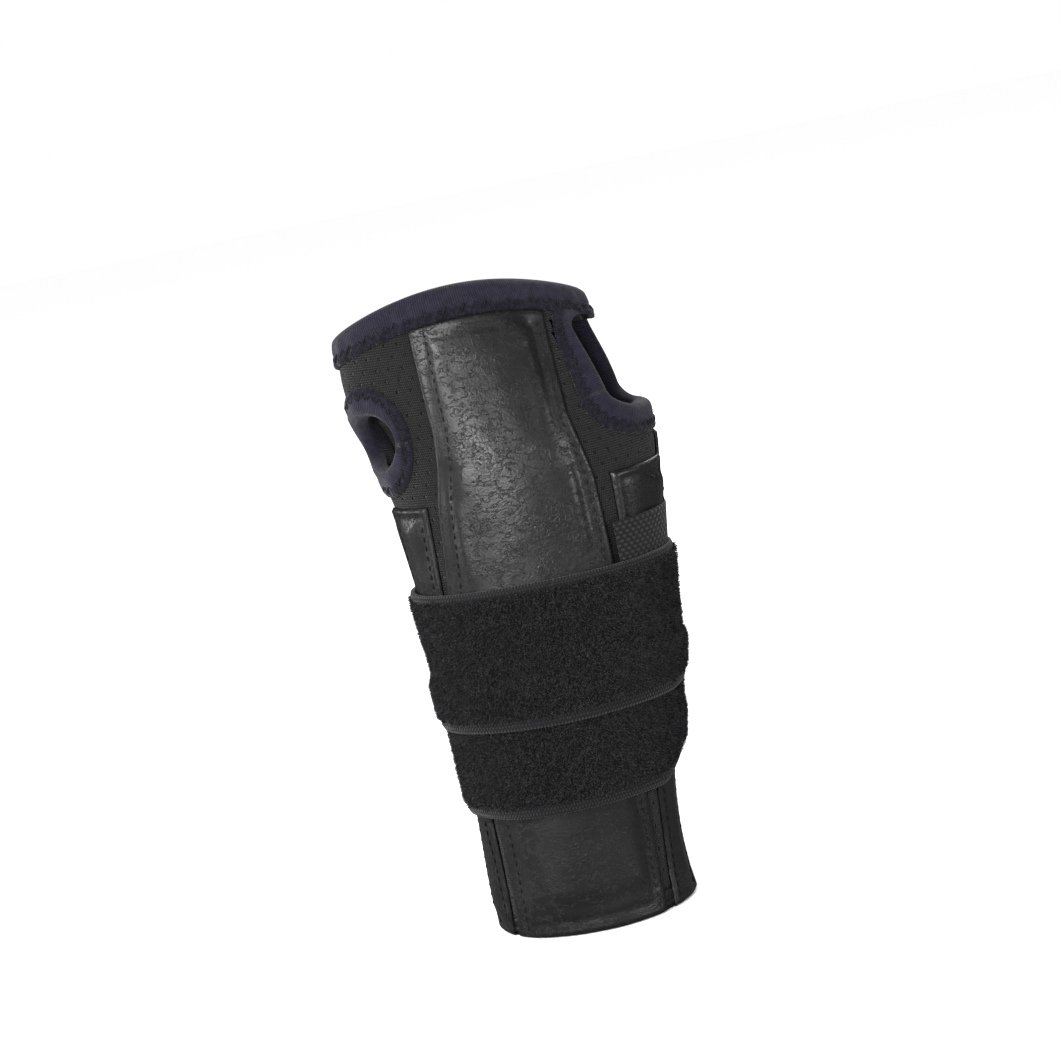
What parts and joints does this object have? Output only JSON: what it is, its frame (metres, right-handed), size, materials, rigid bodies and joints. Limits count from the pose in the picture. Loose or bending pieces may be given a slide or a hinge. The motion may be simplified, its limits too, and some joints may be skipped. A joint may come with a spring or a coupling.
{
  "type": "wrist splint",
  "caption": "Padded textile wrist splint: a stayed palm trough with thumb opening, hinged back flaps and hook-and-loop straps that hold a hand and forearm straight.",
  "frame": {"origin": "middle of the splint's plan outline at its forearm edge", "axes": "+Z from the forearm edge to the fingers, -Y the palm side, +X the thumb side"},
  "size_m": [0.0946, 0.0624, 0.2035],
  "materials": {
    "lining": "brushed terry lining laminated to foam",
    "knit": "matt spacer knit with rows of small zigzag holes",
    "vinyl": "pebbled synthetic leather, soft sheen",
    "binding": "fine ribbed elastic binding, dark navy",
    "loop_pile": "plush loop pile",
    "webbing": "close woven tape",
    "hook": "moulded hook tape",
    "stay": "plain mill finish",
    "spring": "flat spring strip"
  },
  "bodies": {
    "hand_shell": {"palmar_lining": "lining", "palmar_shell": "knit", "palmar_hem": "vinyl", "palmar_rim_binding": "binding", "thumb_hole_binding": "binding", "spare_hole_binding": "binding", "palmar_stay_pocket": "vinyl", "palmar_stay": "stay", "radial_stay_pocket": "vinyl", "radial_stay": "stay", "ulnar_stay_pocket": "vinyl", "ulnar_stay": "stay", "radial_seam_strip": "vinyl", "radial_webbing": "webbing", "proximal_strap": "loop_pile", "distal_strap": "loop_pile"},
    "radial_flap": {"radial_flap_lining": "lining", "radial_flap_shell": "knit", "radial_flap_hem": "vinyl", "radial_flap_rim_binding": "binding", "radial_slit_binding": "binding", "radial_back_stay": "spring", "radial_back_stay_channel": "webbing", "proximal_strap_run": "loop_pile", "distal_strap_run": "loop_pile"},
    "ulnar_flap": {"ulnar_flap_lining": "lining", "ulnar_flap_shell": "knit", "ulnar_flap_hem": "vinyl", "ulnar_flap_rim_binding": "binding", "ulnar_slit_binding": "binding", "ulnar_back_stay": "spring", "ulnar_back_stay_channel": "webbing", "loop_patch": "loop_pile"},
    "proximal_tab": {"proximal_tab": "loop_pile", "proximal_hook_pad": "hook"},
    "distal_tab": {"distal_tab": "loop_pile", "distal_hook_pad": "hook"}
  },
  "joints": [
    {"name": "radial_flap_hinge", "type": "hinge", "parent": "hand_shell", "child": "radial_flap", "pos_m": [0.02207, 0.01186, 0], "axis": [0, -0.0678, -0.9977], "range_deg": [0, 60]},
    {"name": "ulnar_flap_hinge", "type": "hinge", "parent": "hand_shell", "child": "ulnar_flap", "pos_m": [-0.02393, 0.00986, 0], "axis": [0, 0.0847, 0.9964], "range_deg": [0, 60]},
    {"name": "proximal_tab_hinge", "type": "hinge", "parent": "radial_flap", "child": "proximal_tab", "pos_m": [0.00407, 0.02576, 0.054], "axis": [0, 0, -1], "range_deg": [0, 120]},
    {"name": "distal_tab_hinge", "type": "hinge", "parent": "radial_flap", "child": "distal_tab", "pos_m": [0.00407, 0.02546, 0.09], "axis": [0, 0, -1], "range_deg": [0, 120]}
  ],
  "couplings": [
    {"joint": "ulnar_flap_hinge", "follows": "radial_flap_hinge", "ratio": 1}
  ]
}
